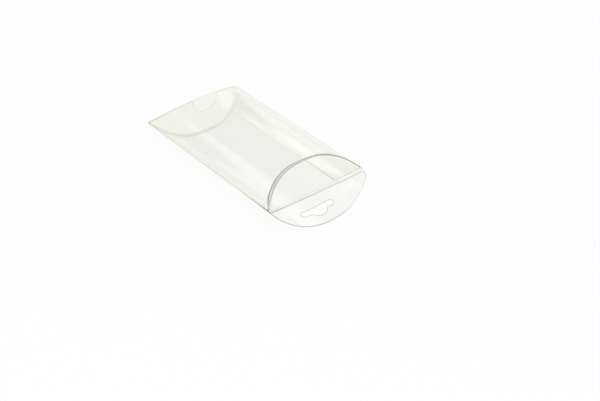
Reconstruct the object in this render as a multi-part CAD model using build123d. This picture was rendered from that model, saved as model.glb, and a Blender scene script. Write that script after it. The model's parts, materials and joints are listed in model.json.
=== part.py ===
"""Clear film pillow box, erected: a folded sleeve with its far end shut and its hang flap out straight.

Frame: the origin is on the table under the middle of the box. +X runs along the box to the hang
flap, +Y to the side with the glue tab, +Z is up. Every film face of the box is one curve, the
lens of its cross section: seen along X it is the sleeve, and seen from above it is the inward
curve of each end, because an end flap folds through a right angle at its curved crease.
"""
import os
from math import sqrt

from build123d import *

# Overall sizes in millimetres
box_length = 128.0  # between the points where the two end creases meet, along a side crease
box_width = 76.0  # between the two side creases
box_height = 28.6
film = 0.3
flat_strip = 12.0  # the nearly flat middle of each panel

# Folds
clearance = 0.3  # between a flap and the film that it swings past or lies against
side_fold_radius = 0.6  # outside of the two side creases

# Glue tab, one more layer inside the bottom panel
tab_width = 13.4  # from the side crease, seen from above
tab_near_setback = 0.8  # from the near crease
tab_far_setback = 2.0  # from the far crease, past the inner flap

# Hang flap, past the line through the two points of its crease
hang_reach = 14.7
shoulder_reach = 5.5
shoulder_inset = 2.2
shoulder_radius = 1.5
crease_width = 1.6  # scored line where the flap would fold
crease_depth = 0.1

# Hang slot, a straight slot with a round crown towards the free edge
slot_length = 26.0
slot_width = 5.0
slot_offset = 0.5  # of the slot's middle line from the line through the crease's points
crown_radius = 6.5  # from the slot's middle line
crown_blend = 1.0

# Thumb notch in the free edge of the outer far flap
notch_radius = 10.0
notch_depth = 12.0

half_length = box_length / 2
half_height = box_height / 2
half_strip = flat_strip / 2
side_run = box_width / 2 - half_strip
panel_radius = (side_run**2 + half_height**2) / (2 * half_height)
far_x = -half_length
near_x = half_length
beyond = box_length  # more than any cut has to reach


def lens(inset):
    """Outline of the cross section moved inwards by inset: two strips and four tangent arcs."""
    radius = panel_radius - inset
    rise = half_height - inset
    tip = half_strip + sqrt(radius**2 - (panel_radius - half_height)**2)
    edges = []
    for up in (1, -1):
        edges.append(Line((-half_strip, up * rise), (half_strip, up * rise)))
        for side in (1, -1):
            edges.append(TangentArc((side * half_strip, up * rise), (side * tip, 0), tangent=(side, 0)))
    return make_face(edges)


def film_ring(inset):
    """A layer of film whose outer face lies inset inside the box's own outline."""
    return lens(inset) - lens(inset + film)


def along_box(sketch, start, end):
    """Extrude a cross section along X."""
    plane = Plane(origin=(start, 0, half_height), x_dir=(0, 1, 0), z_dir=(1, 0, 0))
    return extrude(plane * sketch, amount=end - start)


def upright(sketch, x):
    """Extrude an end curve straight up through the box, with its points on the line at x."""
    plane = Plane(origin=(x, 0, -box_height), x_dir=(0, 1, 0), z_dir=(0, 0, 1))
    return extrude(plane * sketch, amount=3 * box_height)


def half_space(low, high):
    """A block from one corner to the other; None leaves that side open."""
    low = [-beyond if value is None else value for value in low]
    high = [beyond if value is None else value for value in high]
    size = [b - a for a, b in zip(low, high)]
    return Pos(*low) * Box(*size, align=Align.MIN)


upper_half = half_space((None, None, half_height), (None, None, None))
lower_half = half_space((None, None, None), (None, None, half_height))
inside_near = half_space((0, None, None), (near_x, None, None))
inside_far = half_space((far_x, None, None), (0, None, None))
flap_room = along_box(lens(film + clearance), far_x, near_x)


def rounded_side_folds(tube):
    """Round the outside of the two side creases, which run the whole length of the tube."""
    folds = [edge for edge in tube.edges().filter_by(Axis.X) if abs(edge.center().Y) > box_width / 2 - film / 2]
    return fillet(folds, side_fold_radius)


def hang_flap_outline():
    """Plan of the bottom panel: full width up to the crease's points, then the flap's shoulders and arc."""
    tip = (near_x, box_width / 2)
    shoulder = (near_x + shoulder_reach, box_width / 2 - shoulder_inset)
    mirrored = [(x, -y) for x, y in (tip, shoulder)]
    back = [(-beyond, -beyond), (near_x, -beyond)]
    edges = Polyline(*back, mirrored[0], mirrored[1])
    edges += ThreePointArc(mirrored[1], (near_x + hang_reach, 0), shoulder)
    edges += Polyline(shoulder, tip, (near_x, beyond), (-beyond, beyond), back[0])
    outline = make_face(edges)
    corners = [v for v in outline.vertices() if abs(v.X - shoulder[0]) < 1e-6]
    return fillet(corners, shoulder_radius)


def hang_slot():
    """Plan of the slot: its straight part lies across the flap, its crown points at the free edge."""
    straight = Rot(0, 0, 90) * SlotOverall(slot_length, slot_width)
    crown = Circle(crown_radius) & Rectangle(beyond, beyond, align=(Align.MIN, Align.CENTER))
    outline = straight + crown
    corners = [v for v in outline.vertices() if v.X > slot_width / 3 and abs(v.Y) <= crown_radius]
    return Pos(near_x + slot_offset, 0) * fillet(corners, crown_blend)


def through(plan):
    """Extrude a plan sketch straight up through the box."""
    return extrude(Pos(0, 0, -box_height) * plan, amount=3 * box_height)


def top_panel(tube):
    """The upper half of the tube, cut at the near crease and at the recessed far crease."""
    panel = tube & upper_half & half_space((far_x, None, None), (near_x, None, None))
    return panel - upright(lens(0), near_x) - upright(lens(-film - clearance), far_x)


def bottom_panel(tube):
    """The lower half of the tube with the hang flap in one piece, its crease scored and its slot cut."""
    panel = tube & lower_half & through(hang_flap_outline())
    panel -= upright(lens(0), far_x)
    panel -= through(hang_slot())
    score = upright(lens(-crease_width / 2) - lens(crease_width / 2), near_x)
    skin = along_box(lens(0) - lens(crease_depth), 0, near_x)
    return panel - (score & skin & half_space((0, None, None), (near_x, None, half_height)))


def glue_tab():
    """The strip glued inside the bottom panel, cut short of the flaps at both ends."""
    strip = along_box(film_ring(film), far_x, near_x) & lower_half
    strip &= half_space((None, box_width / 2 - tab_width, None), (None, None, None))
    for end, setback in ((far_x, tab_far_setback), (near_x, tab_near_setback)):
        strip -= upright(lens(-setback), end)
    return strip


def inner_flap():
    """The plain far flap, folded down from the top panel behind the outer one."""
    wall = upright(film_ring(-2 * film - clearance), far_x) & inside_far
    joined = wall & along_box(lens(film / 2), far_x, 0) & upper_half
    free = wall & flap_room & lower_half
    return joined + free


def folded_flap(x, inside):
    """A plain flap folded into the end at x, its outer face on the end's curve."""
    return upright(film_ring(-film), x) & inside & flap_room


def thumb_notch():
    """A round-bottomed cut down from the middle of the far flap's free edge."""
    edge = half_height - film - clearance
    middle = edge - notch_depth + notch_radius
    shape = Pos(0, middle) * Circle(notch_radius)
    shape += Pos(0, middle) * Rectangle(2 * notch_radius, box_height, align=(Align.CENTER, Align.MIN))
    return along_box(shape, far_x - half_height, 0)


def build():
    """Make the three pieces: the sleeve with what is fixed to it, and the two flaps that open."""
    tube = rounded_side_folds(along_box(film_ring(0), far_x, near_x + hang_reach + film))
    return {
        "sleeve": top_panel(tube) + bottom_panel(tube) + glue_tab() + inner_flap(),
        "tuck_flap": folded_flap(near_x, inside_near),
        "thumb_flap": folded_flap(far_x, inside_far) - thumb_notch(),
    }


os.makedirs("parts", exist_ok=True)
for name, shape in build().items():
    export_step(shape, f"parts/{name}.step")
    size = shape.bounding_box().size
    print(f"{name}: {shape.volume:.1f} mm3, {size.X:.2f} x {size.Y:.2f} x {size.Z:.2f} mm")
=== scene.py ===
# %% [markdown]
# # A clear pillow box
#
# A pillow box is one die-cut sheet of film. Two side creases fold it into a flat sleeve, a glue
# tab closes the sleeve, and pressing in the curved flaps at the ends makes both panels belly out.
# The imported model gives the box's place and size, so the scene starts by loading it.

# %% Load the frame
import json
import math

import bmesh
import bpy
import numpy as np
from mathutils import Matrix, Vector


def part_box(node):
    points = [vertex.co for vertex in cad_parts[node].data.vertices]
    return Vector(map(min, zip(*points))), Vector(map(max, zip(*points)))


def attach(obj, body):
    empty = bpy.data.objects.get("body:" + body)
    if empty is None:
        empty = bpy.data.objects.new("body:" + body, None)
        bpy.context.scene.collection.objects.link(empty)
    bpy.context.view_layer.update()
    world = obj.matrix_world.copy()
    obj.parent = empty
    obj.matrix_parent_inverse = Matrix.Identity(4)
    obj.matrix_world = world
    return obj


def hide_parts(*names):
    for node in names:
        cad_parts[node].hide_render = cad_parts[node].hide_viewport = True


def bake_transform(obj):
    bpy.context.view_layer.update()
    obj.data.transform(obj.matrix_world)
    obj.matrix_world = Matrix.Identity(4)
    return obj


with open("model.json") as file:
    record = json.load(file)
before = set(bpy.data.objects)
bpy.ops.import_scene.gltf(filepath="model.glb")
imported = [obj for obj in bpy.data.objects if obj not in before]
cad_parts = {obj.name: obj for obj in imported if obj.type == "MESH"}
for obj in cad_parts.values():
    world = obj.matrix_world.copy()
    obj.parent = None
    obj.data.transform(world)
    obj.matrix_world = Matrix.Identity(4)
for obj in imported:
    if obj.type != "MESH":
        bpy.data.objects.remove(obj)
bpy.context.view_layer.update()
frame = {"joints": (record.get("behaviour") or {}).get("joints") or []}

# %% [markdown]
# ## Sizes
#
# The height, the length and the hang flap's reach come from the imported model. The tucked flap
# hinges at the middle of its crease, which lies as far in from the crease's points as it lies
# above them, and that gives the length. The side creases are rounded in the solids, so their sharp
# corner is a value of its own, and so are the film and what is cut into the flaps. Everything is
# in metres.

# %% Sizes of the box
MM = 0.001
sleeve_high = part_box("sleeve")[1]
hinges = {joint["name"]: joint for joint in frame["joints"]}
half_height = sleeve_high.z / 2
half_length = hinges["tuck_flap_open"]["pos_m"][0] + half_height
half_width = 38 * MM
film = 0.3 * MM
clearance = 0.3 * MM
hang_reach = sleeve_high.x - half_length
print(f"box {2 * half_length / MM:.1f} x {2 * half_width / MM:.1f} x {2 * half_height / MM:.1f} mm,"
      f" hang flap {hang_reach / MM:.1f} mm past the points")

# %% [markdown]
# ## Camera
#
# The photograph looks down on one end of the box, from its left. The direction, the distance and
# the lens come from fitting the box's crease lines to the picture. The box lies up and to the
# left of the picture's middle, so the camera aims at a point to the right of the box and below it.

# %% Camera
view_azimuth = math.radians(48.65)
view_elevation = math.radians(35.8)
view_roll = math.radians(-1.77)
view_distance = 0.7606
aim_right = 0.0309
aim_down = 0.0358
picture_width = 600
focal_pixels = 1186

back = Vector((math.sin(view_azimuth) * math.cos(view_elevation),
               -math.cos(view_azimuth) * math.cos(view_elevation),
               math.sin(view_elevation)))
level_right = Vector((math.cos(view_azimuth), math.sin(view_azimuth), 0))
level_up = back.cross(level_right)
right = math.cos(view_roll) * level_right - math.sin(view_roll) * level_up
up = math.sin(view_roll) * level_right + math.cos(view_roll) * level_up

camera_data = bpy.data.cameras.new("camera")
camera_data.sensor_width = 36
camera_data.lens = camera_data.sensor_width * focal_pixels / picture_width
camera = bpy.data.objects.new("camera", camera_data)
bpy.context.scene.collection.objects.link(camera)
box_middle = Vector((0, 0, half_height))
camera.location = box_middle + aim_right * right - aim_down * up + view_distance * back
camera.rotation_euler = Matrix((right, up, back)).transposed().to_euler()
bpy.context.scene.camera = camera
print(f"camera lens {camera_data.lens:.1f} mm at {[round(v, 3) for v in camera.location]}")

# %% [markdown]
# ## Shader maths
#
# A finish is a small sum of masks. Written as Python, `0.1 + 0.9 * facing**5` is easier to read
# than a picture of its nodes. `Value` wraps one output of a node, and arithmetic on it adds the
# Math nodes. `Finish` holds a node tree and has one method that adds any other node: its type,
# the settings, and then the values or links of its sockets.

# %% A socket that takes part in sums
class Value:
    """One output of a shader node. Arithmetic on it adds the Math nodes that work it out."""

    def __init__(self, tree, socket):
        self.tree = tree
        self.socket = socket

    def work_out(self, operation, first, second):
        node = self.tree.nodes.new("ShaderNodeMath")
        node.operation = operation
        for place, term in zip(node.inputs, (first, second)):
            if isinstance(term, Value):
                self.tree.links.new(term.socket, place)
            else:
                place.default_value = term
        return Value(self.tree, node.outputs[0])

    def __add__(self, other):
        return self.work_out("ADD", self, other)

    def __radd__(self, other):
        return self.work_out("ADD", other, self)

    def __sub__(self, other):
        return self.work_out("SUBTRACT", self, other)

    def __rsub__(self, other):
        return self.work_out("SUBTRACT", other, self)

    def __mul__(self, other):
        return self.work_out("MULTIPLY", self, other)

    def __rmul__(self, other):
        return self.work_out("MULTIPLY", other, self)

    def __pow__(self, other):
        return self.work_out("POWER", self, other)

    def at_most(self, other):
        return self.work_out("MINIMUM", self, other)

    def at_least(self, other):
        return self.work_out("MAXIMUM", self, other)


print("shader maths ready")

# %% A node tree under construction
class Finish:
    """The node tree of a material or of the world, emptied and built up node by node."""

    def __init__(self, owner):
        owner.use_nodes = True
        self.tree = owner.node_tree
        self.tree.nodes.clear()

    def add(self, kind, settings=None, **sockets):
        """Add a node: its settings first, then a value or a link for each named socket."""
        node = self.tree.nodes.new("ShaderNode" + kind)
        for name, setting in (settings or {}).items():
            if name == "stops":
                for element, (position, colour) in zip(node.color_ramp.elements, setting):
                    element.position, element.color = position, colour
            else:
                setattr(node, name, setting)
        for name, value in sockets.items():
            place = node.inputs[int(name[1:]) if name[0] == "_" else name.replace("_", " ")]
            if isinstance(value, Value):
                self.tree.links.new(value.socket, place)
            else:
                place.default_value = value
        return {output.name: Value(self.tree, output) for output in node.outputs if output.enabled}


print("node trees ready")

# %% [markdown]
# ## Studio
#
# The box is seen on plain white. Clear film shows mostly by what it mirrors, so a world that is
# white all round would nearly hide it. This one is white at the horizon, where it meets the floor,
# and turns into a soft grey studio above. The step from white to grey makes the film visible.

# %% World
world = bpy.data.worlds.new("studio")
bpy.context.scene.world = world
bpy.context.scene.view_settings.view_transform = "Standard"

studio = Finish(world)
direction = studio.add("TexCoord")["Generated"]
height = studio.add("SeparateXYZ", _0=direction)["Z"]
horizon_and_studio = [(0.03, (1, 1, 1, 1)), (0.16, (0.525, 0.53, 0.525, 1))]
sky = studio.add("ValToRGB", {"stops": horizon_and_studio}, Fac=height)["Color"]
room = studio.add("Background", Color=sky, Strength=1)["Background"]
studio.add("OutputWorld", Surface=room)
print("world made")

# %% [markdown]
# Paint alone is only as white as the light that falls on it. So most of the floor's white is a
# glow for what the camera sees, straight on, through the film or mirrored in it. A small share is
# paint that takes real light, so the film keeps a faint shadow.

# %% Floor
floor_size = 6.0
floor_light_share = 0.15

edge = floor_size / 2
floor_corners = [(-edge, -edge, 0), (edge, -edge, 0), (edge, edge, 0), (-edge, edge, 0)]
floor_mesh = bpy.data.meshes.new("floor")
floor_mesh.from_pydata(floor_corners, [], [(0, 1, 2, 3)])
floor = bpy.data.objects.new("floor", floor_mesh)
bpy.context.scene.collection.objects.link(floor)

floor_paint = bpy.data.materials.new("white_floor")
finish = Finish(floor_paint)
path = finish.add("LightPath")
sight = path["Is Camera Ray"].at_least(path["Is Glossy Ray"]).at_least(path["Is Transmission Ray"])
lit = finish.add("BsdfDiffuse", Color=(0.95, 0.95, 0.95, 1))["BSDF"]
glow = finish.add("Emission", Color=(1, 1, 1, 1), Strength=1)["Emission"]
white = finish.add("MixShader", _0=(1 - floor_light_share) * sight, _1=lit, _2=glow)["Shader"]
finish.add("OutputMaterial", Surface=white)
floor_mesh.materials.append(floor_paint)
print("floor made")

# %% [markdown]
# A large lamp overhead gives the plain light. A curved panel stretches what it mirrors into a
# streak along its length, so a small faint lamp stands where the top panel mirrors it, and a soft
# one behind the box lights the far flaps.

# %% Lamps
def soft_lamp(name, place, size, watts):
    """An area lamp at place, pointed at the box."""
    data = bpy.data.lights.new(name, "AREA")
    data.shape = "RECTANGLE"
    data.size, data.size_y = size
    data.energy = watts
    lamp = bpy.data.objects.new(name, data)
    lamp.location = place
    lamp.rotation_euler = (box_middle - Vector(place)).to_track_quat("-Z", "Y").to_euler()
    bpy.context.scene.collection.objects.link(lamp)


soft_lamp("overhead_lamp", place=(0.5, -0.5, 1.7), size=(1.2, 1.2), watts=16)
soft_lamp("streak_lamp", place=(-1.13, -0.36, 1.35), size=(0.45, 0.22), watts=0.28)
soft_lamp("back_lamp", place=(-0.6, 1.4, 0.6), size=(1.2, 0.8), watts=2.1)
print("lamps made")

# %% [markdown]
# ## The film
#
# Clear film is mostly not there: light goes straight through and loses a few percent, a little
# more of the blue, which is the pale green tint that grows with each layer. The rest is mirrored,
# about 9 percent straight on and nearly all of it at a grazing angle. So the finish mixes a
# Transparent shader with a mirror by how much the film faces the eye. Glass that bends light
# would need two surfaces to each layer and would darken the shadow, and film this thin bends
# nothing. Along the creases an olive-grey, duller and less clear finish is mixed in. It is partly
# the film's crease mark and partly painted shade for the dark bands a fold makes by bending light.
# A point attribute called crease says where.

# %% Clear film
straight_mirror = 0.09
# how much of the painted crease shade covers the film where a crease shows fully
crease_shade_share = 0.8
clean_roughness = 0.06
smear_roughness = 0.12

clear_film = bpy.data.materials.new("clear_film")
finish = Finish(clear_film)
facing = finish.add("LayerWeight", Blend=0.5)["Facing"]
# how much crease mark and painted crease shade each point takes
crease = finish.add("Attribute", {"attribute_name": "crease"})["Fac"]
spot = finish.add("TexCoord")["Object"]
ripple = finish.add("TexNoise", Vector=spot, Scale=45.0, Detail=1.0, Roughness=0.4)["Fac"]
smear = finish.add("TexNoise", Vector=spot, Scale=160.0, Detail=3.0, Roughness=0.6)["Fac"]
wavy = finish.add("Bump", Strength=0.35, Distance=0.0006, Height=ripple)["Normal"]

mirror = straight_mirror + (1 - straight_mirror) * facing**5
clear = finish.add("BsdfTransparent", Color=(0.983, 0.988, 0.949, 1))["BSDF"]
gloss = finish.add("BsdfPrincipled", Base_Color=(1, 1, 1, 1), Metallic=1.0,
                   Roughness=clean_roughness + smear_roughness * smear, Normal=wavy)["BSDF"]
# painted shade: olive-grey at the creases, standing in for light bent away at a fold, partly the
# film's own crease mark
crease_mark_and_shade = finish.add("BsdfPrincipled", Base_Color=(0.22, 0.23, 0.175, 1), Roughness=0.35)["BSDF"]
sheet = finish.add("MixShader", _0=mirror, _1=clear, _2=gloss)["Shader"]
# the film with the painted crease shade mixed in where the crease attribute says
creased = finish.add("MixShader", _0=crease_shade_share * crease, _1=sheet, _2=crease_mark_and_shade)["Shader"]
finish.add("OutputMaterial", Surface=creased)
print("clear film made")

# %% [markdown]
# A cut edge of clear film looks dark, because light that runs inside the film leaves it there and
# goes elsewhere. The edge is a third of a millimetre wide, so it shows as a thin olive line of
# painted shade, and its darkness is painted place by place, more where the edge faces away from
# the light. The same point attribute says how dark, and a little noise breaks the line up.

# %% Cut edge
even_share = 0.75
noise_share = 0.5

cut_edge = bpy.data.materials.new("cut_edge")
finish = Finish(cut_edge)
spot = finish.add("TexCoord")["Object"]
uneven = finish.add("TexNoise", Vector=spot, Scale=220.0, Detail=2.0)["Fac"]
# painted shade: the olive of a cut edge, where light leaves the film
olive = finish.add("Mix", {"data_type": "RGBA"}, _0=uneven,
                   _6=(0.09, 0.095, 0.06, 1), _7=(0.22, 0.23, 0.17, 1))["Result"]
dark = finish.add("Attribute", {"attribute_name": "crease"})["Fac"]
body = finish.add("BsdfPrincipled", Base_Color=olive, Roughness=0.25)["BSDF"]
clear = finish.add("BsdfTransparent", Color=(0.965, 0.97, 0.94, 1))["BSDF"]
shown = (dark * (even_share + noise_share * uneven)).at_most(1)
edge_shader = finish.add("MixShader", _0=shown, _1=clear, _2=body)["Shader"]
finish.add("OutputMaterial", Surface=edge_shader)
print("cut edge made")

# %% [markdown]
# ## The curve of the box
#
# One curve shapes everything: the lens of the cross section. Seen along the box it is the two
# panels. Seen from above it is the inward bow of each end, because a flap folds through a right
# angle at a crease that lies in a plane at 45 degrees. Film doesn't change its curvature at once:
# it is nearly flat in the middle of a panel, bends more and more, and then evenly to the side
# crease. So the curve is drawn by how far it has turned after each step, and the radius is found
# by halving until the curve ends at the side crease. `rise_at` gives its height.

# %% Curve of a panel
ease_length = 9 * MM
curve_length = 1.5 * half_width
curve_points = 3001
radius_error = 1e-9
steps = np.linspace(0, curve_length, curve_points)


def panel_curve(radius):
    """Distances from the middle, heights and turned angles along half a panel."""
    turned = (np.sqrt(steps**2 + ease_length**2) - ease_length) / radius
    mean = (turned[1:] + turned[:-1]) / 2
    stride = steps[1]
    y = np.concatenate([[0], np.cumsum(np.cos(mean) * stride)])
    z = half_height - np.concatenate([[0], np.cumsum(np.sin(mean) * stride)])
    return y, z, turned


tight, wide = 0.5 * half_width, 3 * half_width
while wide - tight > radius_error:
    panel_radius = (tight + wide) / 2
    curve_y, curve_z, curve_turn = panel_curve(panel_radius)
    if np.interp(half_width, curve_y, curve_z) < 0:
        tight = panel_radius
    else:
        wide = panel_radius
print(f"panels bend to a radius of {panel_radius / MM:.1f} mm")

# %% Places on the curve
def moved_in(inset):
    """The curve moved inwards by inset, square to itself."""
    return curve_y - inset * np.sin(curve_turn), curve_z - inset * np.cos(curve_turn)


def rise_at(y, inset=0.0):
    """Height of the curve, moved inwards by inset, at a distance y from the box's middle."""
    return np.interp(np.abs(y), *moved_in(inset))


middle_inset = film / 2
print(f"film's middle rises {rise_at(0, middle_inset) / MM:.2f} mm above the side creases")

# %% [markdown]
# The film is laid out in columns. A column is one place across the box, with its distance from
# the middle and its height on the lens. Columns are close together where something is cut: at the
# slot's ends and crown, at the thumb notch, at the glue tab's edge and at the hang flap's
# shoulders. The last few columns go round the side crease, which is a fold with a small radius.

# %% Cuts across the box
slot_offset = 0.5 * MM
slot_middle = half_length + slot_offset
slot_half = 13.0 * MM
slot_radius = 2.5 * MM
crown_radius = 6.5 * MM
crown_blend = 1.0 * MM
blend_y = math.sqrt((crown_radius + crown_blend)**2 - (slot_radius + crown_blend)**2)
crown_y = blend_y * crown_radius / (crown_radius + crown_blend)
notch_radius = 10.0 * MM
notch_straight = 2.0 * MM
notch_middle = 2 * half_height - film - clearance - notch_straight
tab_width = 13.4 * MM
tab_edge = half_width - tab_width
shoulder_reach = 5.5 * MM
shoulder_inset = 2.2 * MM
shoulder_y = half_width - shoulder_inset
print(f"slot {2 * slot_half / MM:.0f} mm long, notch {2 * notch_radius / MM:.0f} mm wide,"
      f" tab {tab_width / MM:.1f} mm wide")

# %% Columns
side_fold = 0.5 * MM
side_steps = 6
panel_columns = 56
slot_steps = 6
crown_steps = 9
blend_steps = 6
notch_steps = 14
notch_lip = 0.15 * MM
shoulder_spread = 1.2 * MM
shoulder_steps = 7
least_gap = 0.25 * MM
column_digits = 7


def round_steps(radius, count):
    """Places from 0 to radius that are evenly spaced round a quarter circle."""
    return [radius * math.sin(math.pi / 2 * step / count) for step in range(count + 1)]


def columns():
    """Distances from the middle, and heights on the lens, of every column from side to side."""
    fold_ys, fold_zs = moved_in(middle_inset + side_fold)
    last = int(np.argmax(fold_zs < 0))
    fold_y, last_angle = fold_ys[last], curve_turn[last]
    even = moved_in(middle_inset)[0][np.linspace(0, last, panel_columns).astype(int)]
    exact = [slot_half - slot_radius + step for step in round_steps(slot_radius, slot_steps)]
    exact += list(np.linspace(0, crown_y, crown_steps))
    exact += list(np.linspace(crown_y, blend_y, blend_steps))
    exact += round_steps(notch_radius, notch_steps) + [notch_radius + notch_lip, tab_edge]
    exact += list(shoulder_y + shoulder_spread * np.linspace(-1, 1, shoulder_steps))
    between = [y for y in even if min(abs(y - e) for e in exact) > least_gap]
    places = sorted(set(round(y, column_digits) for y in exact + between))
    heights = list(rise_at(np.array(places), middle_inset))
    for angle in np.linspace(last_angle, math.pi / 2, side_steps)[1:]:
        places.append(fold_y + side_fold * math.sin(angle))
        heights.append(side_fold * math.cos(angle))
    y = np.array([-place for place in places[:0:-1]] + places)
    return y, np.array(heights[:0:-1] + heights)


column_y, column_rise = columns()
on_panel = np.abs(column_y) <= np.max(np.abs(column_y)) - side_fold
print(f"{len(column_y)} columns, {int((~on_panel).sum())} of them at the side creases,"
      f" the widest at {column_y.max() / MM:.2f} mm")

# %% [markdown]
# ## Laying film
#
# `Film` collects patches of film and the cut edges round them. A patch is a grid of points,
# column by column, with the amount of crease mark and painted crease shade at each point. An edge
# is a thin rail swept along the cut, with the painted shade it shows. Patches that share a line of
# points are welded there, so the sheet is continuous where the real one is.

# %% Film under construction
rail_sides = 6
rail_radius = film / 2
rail_start = (0.3, 0.5, 0.8)  # a slanting direction, so that no cut starts along it
weld_distance = film / 100
sliver = film / 1000


class Film:
    """A sheet of film: its patches, how much crease mark and painted shade each point takes, and
    its cut edges.
    """

    def __init__(self):
        self.points = []
        self.mark_and_shade = []
        self.faces = []
        self.finishes = []

    def lay(self, grid, mark_and_shade):
        """Add a grid of points, shaped columns by rows by 3, with the crease mark and painted shade
        of each point.
        """
        count, rows = grid.shape[:2]
        start = len(self.points)
        self.points += grid.reshape(-1, 3).tolist()
        self.mark_and_shade += np.broadcast_to(mark_and_shade, (count, rows)).reshape(-1).tolist()
        for i in range(count - 1):
            for j in range(rows - 1):
                a = start + i * rows + j
                self.faces.append((a, a + rows, a + rows + 1, a + 1))
                self.finishes.append(0)

    def rail(self, path, darkness, closed=False):
        """Sweep a cut edge along a path of points, with how dark it shows at each."""
        path = np.asarray(path, float)
        darkness = np.broadcast_to(darkness, len(path))
        ahead = np.roll(path, -1, axis=0)
        behind = np.roll(path, 1, axis=0)
        if not closed:
            ahead[-1] = path[-1]
            behind[0] = path[0]
        along = ahead - behind
        along /= np.linalg.norm(along, axis=1)[:, None]
        start = len(self.points)
        side = np.cross(along[0], rail_start)
        for point, tangent, dark in zip(path, along, darkness):
            side = side - tangent * (side @ tangent)
            side /= np.linalg.norm(side)
            other = np.cross(tangent, side)
            for step in range(rail_sides):
                angle = 2 * math.pi * step / rail_sides
                offset = rail_radius * (math.cos(angle) * side + math.sin(angle) * other)
                self.points.append((point + offset).tolist())
                self.mark_and_shade.append(float(dark))
        self.skin(start, len(path), closed)

    def skin(self, start, rings, closed):
        """Join the rings of a rail with faces, and cap its ends where it is open."""
        for ring in range(rings if closed else rings - 1):
            a = start + ring * rail_sides
            b = start + (ring + 1) % rings * rail_sides
            for step in range(rail_sides):
                after = (step + 1) % rail_sides
                self.faces.append((a + step, a + after, b + after, b + step))
                self.finishes.append(1)
        if not closed:
            for ring in (0, rings - 1):
                a = start + ring * rail_sides
                self.faces.append(tuple(range(a, a + rail_sides)))
                self.finishes.append(1)

    def make(self, name):
        """Weld the patches into one mesh object with the film's two finishes."""
        mesh = bpy.data.meshes.new(name)
        mesh.from_pydata(self.points, [], self.faces)
        mesh.polygons.foreach_set("material_index", self.finishes)
        mesh.polygons.foreach_set("use_smooth", [True] * len(self.faces))
        # the crease attribute carries the painted shade of creases and cut edges
        mesh.attributes.new("crease", "FLOAT", "POINT").data.foreach_set("value", self.mark_and_shade)
        work = bmesh.new()
        work.from_mesh(mesh)
        bmesh.ops.remove_doubles(work, verts=work.verts, dist=weld_distance)
        bmesh.ops.dissolve_degenerate(work, dist=sliver, edges=work.edges)
        work.to_mesh(mesh)
        work.free()
        mesh.materials.append(clear_film)
        mesh.materials.append(cut_edge)
        piece = bpy.data.objects.new(name, mesh)
        bpy.context.scene.collection.objects.link(piece)
        print(name, len(mesh.vertices), "points", len(mesh.polygons), "faces")
        return piece


print(f"film can be laid, with rails {2 * rail_radius / MM:.1f} mm thick")

# %% [markdown]
# ## Creases
#
# A crease is pressed into the film before it is folded. It shows as a band with two dark borders,
# partly the crease's own mark and partly painted shade. The fold runs round it with a small radius,
# which shrinks towards the points of the end, where top and bottom crease meet. The three folds
# differ. The outer far flap has a soft one, and the inner far flap a tight one. The fold of the
# tucked flap is uneven: tight on the side with the glue tab, and opening towards the other side.

# %% Radii of the folds
fold_radius = 1.4 * MM
inner_radius = 0.5 * MM
tight_radius = 0.35 * MM
open_radius = 2.2 * MM
opens_at = 0.15
fold_share = 0.45
# how much painted crease shade each row beside and round a fold takes, darkest at the fold's
# borders
band_offsets = np.array([0.0, 0.35, 0.8]) * MM
band_creasing = np.array([1.0, 0.4, 0.0])
bands = len(band_creasing)
fold_creasing = np.array([1.0, 0.95, 0.6, 0.45, 0.4, 0.45, 0.6, 0.95, 1.0])

across = column_y / half_width
opened = np.clip(opens_at - across, 0, 1)
largest_fold = fold_share * column_rise
fold_at = np.minimum(fold_radius, largest_fold)
inner_fold_at = np.minimum(inner_radius, largest_fold)
near_fold_at = np.minimum(tight_radius + (open_radius - tight_radius) * opened, largest_fold)
print(f"tucked flap's fold up to {near_fold_at.max() / MM:.1f} mm in radius")

# %% Rows beside a crease
def rows_between(start, end, count):
    """Rows of places from start to end for each column, finely spaced beside both ends."""
    inner = np.linspace(0, 1, count)
    first = start[:, None] + band_offsets
    last = end[:, None] - band_offsets[::-1]
    fill = first[:, -1:] + (last[:, :1] - first[:, -1:]) * inner[1:-1]
    return np.concatenate([first, fill, last], axis=1)


def on_rows(x, y, z):
    """Points from rows of x, columns of y and of z."""
    shape = np.broadcast_shapes(np.shape(x), np.shape(y), np.shape(z))
    return np.stack([np.broadcast_to(value, shape) for value in (x, y, z)], axis=-1)


print("rows beside a crease lie", [round(float(v) / MM, 2) for v in band_offsets], "mm from it")

# %% [markdown]
# Each end wall is the lens seen from above. The inner far flap lies just behind the outer one, and
# the two come together at the points of the end.

# %% End walls
tip_length = 3 * MM

near_wall = half_length - rise_at(column_y, -film / 2)
far_wall = -half_length + rise_at(column_y, -film / 2)
behind_far = -half_length + rise_at(column_y, -1.5 * film - clearance)
from_side = column_y.max() - np.abs(column_y)
inner_wall = far_wall + (behind_far - far_wall) * np.clip(from_side / tip_length, 0, 1)
print(f"end creases bow in by {(half_length - near_wall.min()) / MM:.1f} mm")

# %% [markdown]
# The hang flap closes over the tucked flap when it is folded, so its own crease lies a little
# further out than the tucked flap's. In the picture it is also a bit askew: less far out at the
# open side and further at the side with the glue tab. At both sides it runs out on the flap's free
# edge.

# %% Free edge and crease of the hang flap
crease_out = 1.6 * MM
crease_skew = 1.0 * MM
bead_half = 0.8 * MM
bead_room = 1.2 * bead_half
shoulder_rounding = 0.4 * MM


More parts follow.
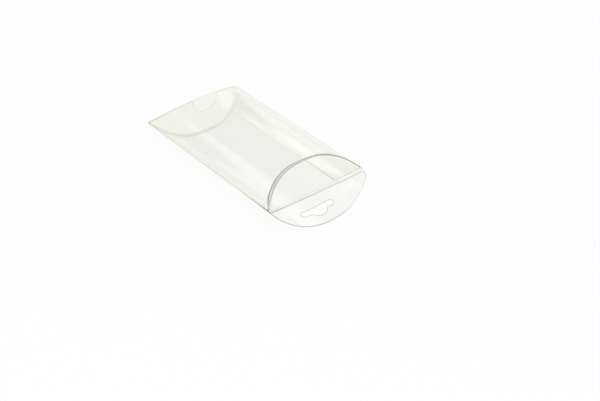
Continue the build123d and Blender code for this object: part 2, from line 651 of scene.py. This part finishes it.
def flap_edge(y):
    """Where the flap's free edge is: a wide arc, and a short straight shoulder at each point."""
    bow = hang_reach - shoulder_reach
    radius = (shoulder_y**2 + bow**2) / (2 * bow)
    arc = hang_reach - radius + np.sqrt(radius**2 - y**2)
    shoulder = shoulder_reach * (half_width - np.abs(y)) / (half_width - shoulder_y)
    nearer = np.exp(-arc / shoulder_rounding) + np.exp(-shoulder / shoulder_rounding)
    return half_length - rail_radius - shoulder_rounding * np.log(nearer)


crease_limit = flap_edge(column_y) - bead_room
hang_crease = np.minimum(near_wall + crease_out + crease_skew * across, crease_limit)
hang_crease = np.maximum(hang_crease, near_wall)
print(f"hang flap creased {crease_out / MM:.1f} mm further out in the middle")

# %% [markdown]
# How dark a crease shows changes from side to side, and that change is painted shade.
# Each crease has a curve of its own, from the open side at -1 to the side with the glue tab at 1.

# %% How strongly each crease shows
# painted shade: how dark each crease shows from side to side
far_strength = np.interp(across, [-1, -0.8, 0, 1], [0.5, 0.27, 0.06, 0.28])
thumb_strength = np.interp(across, [-1, 0, 0.4, 1], [0.22, 0.2, 0.04, 0.04])
tuck_strength = np.interp(across, [-1, -0.7, -0.5, 0, 0.2, 1],
                          [1.25, 1.0, 0.85, 0.85, 1.25, 1.2])
bead_strength = np.interp(across, [-1, -0.7, -0.3, 0.7, 0.95, 1],
                          [1.25, 0.95, 0.5, 0.55, 0.45, 0.1])
tab_side_strength = 0.2


def side_line(x):
    """Painted crease shade along the two side folds, stronger at the near end of the open one."""
    along_open = [-half_length, 0.6 * half_length, half_length]
    open_side = np.interp(x, along_open, [0.17, 0.15, 1.1])
    line = np.where((column_y < 0)[:, None], open_side, tab_side_strength)
    return np.where(on_panel[:, None], 0.0, line)


print(f"tucked flap's crease shows at up to {tuck_strength.max():.2f}")

# %% [markdown]
# ## Sleeve
#
# The top and bottom panels are laid first. They share the last column on each side, which is the
# side crease. The top panel stops where its folds begin, at both ends.

# %% Top panel
panel_rows = 64

sleeve_film = Film()
top_x = rows_between(inner_wall + inner_fold_at, near_wall - near_fold_at, panel_rows)
top_grid = on_rows(top_x, column_y[:, None], half_height + column_rise[:, None])
top_creasing = np.zeros(top_x.shape)
top_creasing[:, :bands] = np.outer(far_strength, band_creasing)
top_creasing[:, -bands:] = np.outer(tuck_strength, band_creasing[::-1])
sleeve_film.lay(top_grid, np.maximum(top_creasing, side_line(top_x)))
print("top panel laid in", top_x.shape[1], "rows")

# %% [markdown]
# The bottom panel stops at the fold of the far flap, and at the near end it runs on through a
# crease that is scored but not folded: a low bead, raised square to the panel. The bead lies half
# on the panel and half on the hang flap, so one function gives the points of both.

# %% Bead
bead_height = 0.16 * MM
full_bead_rise = 4 * MM
bead_offsets = bead_half * np.array([1.0, 0.75, 0.5, 0.25, 0.0])
bead_profile = np.cos(np.pi / 2 * bead_offsets / bead_half)**2
# how strongly each row of the bead shows painted crease shade, partly its scored mark
bead_creasing = np.array([0.0, 0.5, 0.9, 0.8, 0.7])
bead_rows = len(bead_offsets)

slope = np.gradient(column_rise, column_y)
steep = np.sqrt(1 + slope**2)
fade = np.clip(column_rise / full_bead_rise, 0, 1)


def bottom_film(x, profile, here):
    """Points of the bottom film in the columns here, raised row by row by the bead's profile."""
    lift = bead_height * fade[here][:, None] * profile
    y = column_y[here][:, None] + lift * (slope / steep)[here][:, None]
    z = half_height - column_rise[here][:, None] + lift / steep[here][:, None]
    return on_rows(x, y, z)


print(f"bead {2 * bead_half / MM:.1f} mm wide and {bead_height / MM:.2f} mm high")

# %% Bottom panel
every_column = np.full(len(column_y), True)
bead_start = hang_crease - bead_half
flat_x = rows_between(far_wall + fold_at, bead_start + band_offsets[-1], panel_rows)[:, :-bands]
bottom_x = np.concatenate([flat_x, hang_crease[:, None] - bead_offsets], axis=1)
bottom_profile = np.zeros(bottom_x.shape[1])
bottom_profile[-bead_rows:] = bead_profile
bottom_grid = bottom_film(bottom_x, bottom_profile, every_column)
bottom_creasing = np.zeros(bottom_x.shape)
bottom_creasing[:, :bands] = np.outer(thumb_strength, band_creasing)
bottom_creasing[:, -bead_rows:] = np.outer(bead_strength, bead_creasing)
sleeve_film.lay(bottom_grid, np.maximum(bottom_creasing, side_line(bottom_x)))
print("bottom panel laid in", bottom_x.shape[1], "rows")

# %% [markdown]
# ## Folded flaps
#
# At a fold the film turns from the panel into the end wall on a quarter circle, and then the flap
# runs straight to its free edge, just short of the opposite panel. One function lays all three
# folded flaps: the tucked flap at the near end and the inner one at the far end hang down from
# the top panel, and the outer far flap stands up from the bottom panel. The outer one is cut a
# little lower, so the crease above it shows as one line, and it has the thumb notch.

# %% Fold a flap
wall_rows = 22
least_flap = 0.2 * MM
opposite = rise_at(column_y, film + clearance)
has_flap = on_panel & (opposite > least_flap)


def fold_flap(target, wall, radii, inwards, downwards, free_edge, strength, edge_darkness):
    """Lay a folded flap: wall gives its x, inwards and downwards the ways it turns."""
    wall_x = wall[has_flap][:, None]
    radius = radii[has_flap][:, None]
    crease_z = (half_height + downwards * column_rise)[has_flap][:, None]
    angles = np.linspace(0, math.pi / 2, len(fold_creasing))
    bend_x = wall_x + inwards * radius * (1 - np.sin(angles))
    bend_z = crease_z - downwards * radius * (1 - np.cos(angles))
    start = crease_z - downwards * radius
    end = free_edge[has_flap][:, None]
    near_fold = start - downwards * np.minimum(band_offsets[1:], np.abs(end - start) / 2)
    share = np.linspace(0, 1, wall_rows)[1:]
    straight_z = np.concatenate(
        [near_fold, near_fold[:, -1:] + (end - near_fold[:, -1:]) * share], axis=1)
    x = np.concatenate([bend_x, np.broadcast_to(wall_x, straight_z.shape)], axis=1)
    z = np.concatenate([bend_z, straight_z], axis=1)
    grid = on_rows(x, column_y[has_flap][:, None], z)
    mark_and_shade = np.concatenate([fold_creasing, band_creasing[1:], np.zeros(wall_rows - 1)])
    shown = strength[has_flap]
    target.lay(grid, np.outer(shown, mark_and_shade))
    # the cut edge takes painted shade: along the flap's sides as dark as the crease, along its free
    # edge by its own value
    cut = np.concatenate([grid[0, :-1], grid[:, -1], grid[-1, -2::-1]])
    side = np.ones(grid.shape[1] - 1)
    free = np.full(len(grid), edge_darkness)
    target.rail(cut, np.minimum(np.concatenate([shown[0] * side, free, shown[-1] * side]), 1))


print(int(has_flap.sum()), "columns reach into the flaps")

# %% Three folded flaps
thumb_drop = 1.0 * MM
# how dark each flap's free cut edge shows: painted shade
inner_darkness = 0.12
tuck_darkness = 0.03
thumb_darkness = 0.1
hair = 1e-7

low_edge = half_height - np.clip(opposite, 0, None)
high_edge = half_height + np.clip(opposite - thumb_drop, 0, None)
inside_notch = np.abs(column_y) <= notch_radius + hair
notch_floor = notch_middle - np.sqrt(np.clip(notch_radius**2 - column_y**2, 0, None))
notched_edge = np.where(inside_notch, np.minimum(notch_floor, high_edge), high_edge)

tuck_film = Film()
thumb_film = Film()
fold_flap(sleeve_film, inner_wall, inner_fold_at, 1, 1, low_edge, far_strength, inner_darkness)
fold_flap(tuck_film, near_wall, near_fold_at, -1, 1, low_edge, tuck_strength, tuck_darkness)
fold_flap(thumb_film, far_wall, fold_at, 1, -1, notched_edge, thumb_strength, thumb_darkness)
print("three flaps folded")

# %% [markdown]
# ## Hang flap
#
# The hang flap goes on from the bottom panel in the same curve, so it has the same columns. Each
# column runs from the crease to the free edge, and where it meets the slot it stops at one side
# of the slot and goes on from the other. The slot is straight towards the box and has a round
# crown towards the free edge, where a peg settles.

# %% Sides of the slot
def slot_sides(y):
    """The two sides of the slot at y; outside the slot both are its middle line."""
    far = np.abs(y)
    along = np.clip(far - (slot_half - slot_radius), 0, slot_radius)
    half = np.sqrt(slot_radius**2 - along**2)
    crown = np.sqrt(np.clip(crown_radius**2 - far**2, 0, None))
    blend = crown_blend - np.sqrt(np.clip(crown_blend**2 - (far - blend_y)**2, 0, None))
    outer = np.where(far <= crown_y, crown, np.where(far < blend_y, half + blend, half))
    return slot_middle - half, slot_middle + outer


flap_y = column_y[on_panel]
in_slot = np.abs(flap_y) <= slot_half + hair
slot_inner, slot_outer = slot_sides(flap_y)
print(int(in_slot.sum()), "columns meet the slot")

# %% Lay the hang flap
flap_rows = 10
waist_share = 0.55

flap_start = hang_crease[on_panel]
free_edge = np.maximum(flap_edge(flap_y), flap_start + bead_room)
waist = np.maximum(slot_middle, flap_start + waist_share * (free_edge - flap_start))
inner_end = np.where(in_slot, slot_inner, waist)
outer_start = np.where(in_slot, slot_outer, waist)
share = np.linspace(0, 1, flap_rows)
bead_out = flap_start[:, None] + bead_offsets[::-1]
bead_end = bead_out[:, -1:]
inner_x = np.concatenate([bead_out, bead_end + (inner_end[:, None] - bead_end) * share[1:]], axis=1)
outer_x = outer_start[:, None] + (free_edge - outer_start)[:, None] * share
flap_profile = np.zeros(inner_x.shape[1])
flap_profile[:bead_rows] = bead_profile[::-1]
flap_creasing = np.zeros(inner_x.shape[1])
flap_creasing[:bead_rows] = bead_creasing[::-1]
inner_grid = bottom_film(inner_x, flap_profile, on_panel)
outer_grid = bottom_film(outer_x, 0.0, on_panel)
sleeve_film.lay(inner_grid, np.outer(bead_strength[on_panel], flap_creasing))
sleeve_film.lay(outer_grid, 0.0)
print(f"hang flap laid, up to {free_edge.max() / MM:.1f} mm from the box's middle")

# %% Cut edges of the hang flap
# painted shade on the slot's cut edge
slot_darkness = 0.3

flap_cut = np.concatenate([inner_grid[0, :-1], outer_grid[0, :-1], outer_grid[:, -1],
                           outer_grid[-1, -2::-1], inner_grid[-1, -2::-1]])
# painted shade on the flap's cut edge, darkest at the open side and fading towards the glue tab
flap_darkness = np.interp(flap_cut[:, 1] / half_width, [-1, 0, 0.5, 1], [1.0, 0.78, 0.2, 0.25])
sleeve_film.rail(flap_cut, flap_darkness)
slot_loop = np.concatenate([inner_grid[in_slot, -1], outer_grid[in_slot, 0][-2:0:-1]])
sleeve_film.rail(slot_loop, slot_darkness, closed=True)
print(len(flap_cut), "points round the flap,", len(slot_loop), "round the slot")

# %% [markdown]
# ## Glue tab
#
# The tab is the sheet's own last strip. It turns in at the side crease and lies on the inside of
# the bottom panel, cut a little short of the flaps at both ends. From outside it shows as a greyer
# strip with a fine line of painted shade along its edge. The bottom panel's own edge ends at the
# same side crease.

# %% Lay the glue tab
near_setback = 0.8 * MM
far_setback = 2.0 * MM
# how dark the tab's cut ends and the panel's side edge show: painted shade
near_end_darkness = 0.15
far_end_darkness = 0.05
side_darkness = 0.15

tab_columns = on_panel & (column_y >= tab_edge - hair)
tab_y = column_y[tab_columns]
tab_z = half_height - rise_at(tab_y, middle_inset + film)
tab_start = -half_length + rise_at(tab_y, -far_setback)
tab_end = half_length - rise_at(tab_y, -near_setback)
tab_x = tab_start[:, None] + (tab_end - tab_start)[:, None] * np.linspace(0, 1, panel_rows)
tab_grid = on_rows(tab_x, tab_y[:, None], tab_z[:, None])
sleeve_film.lay(tab_grid, 0.0)
tab_cut = np.concatenate([tab_grid[:0:-1, 0], tab_grid[0], tab_grid[1:, -1]])
# painted shade along the tab's long edge, darker towards the near end
tab_seam = np.interp(tab_x[0] / half_length, [-1, 0.3, 0.7], [0.0, 0.02, 0.36])
tab_ends = np.ones(len(tab_y) - 1)
sleeve_film.rail(tab_cut, np.concatenate([far_end_darkness * tab_ends, tab_seam,
                                          near_end_darkness * tab_ends]))
side_edge = bottom_grid[-1] - np.array([0, 0, film / 2])
sleeve_film.rail(side_edge, side_darkness)
print(f"glue tab laid, {(tab_end[0] - tab_start[0]) / MM:.1f} mm long at its edge")

# %% [markdown]
# ## Pieces
#
# The sleeve's film stands for the sleeve and stays with it. The films of the two flaps that open
# are made where they are, and their solid flaps are hidden.

# %% Place the pieces
sleeve_piece = sleeve_film.make("sleeve_film")
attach(sleeve_piece, "sleeve")
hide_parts("sleeve")

for film_sheet, node, hinge in ((tuck_film, "tuck_flap", "tuck_flap_open"),
                                (thumb_film, "thumb_flap", "thumb_flap_open")):
    piece = film_sheet.make(node + "_film")
    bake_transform(piece)
    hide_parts(node)
print("pieces placed")
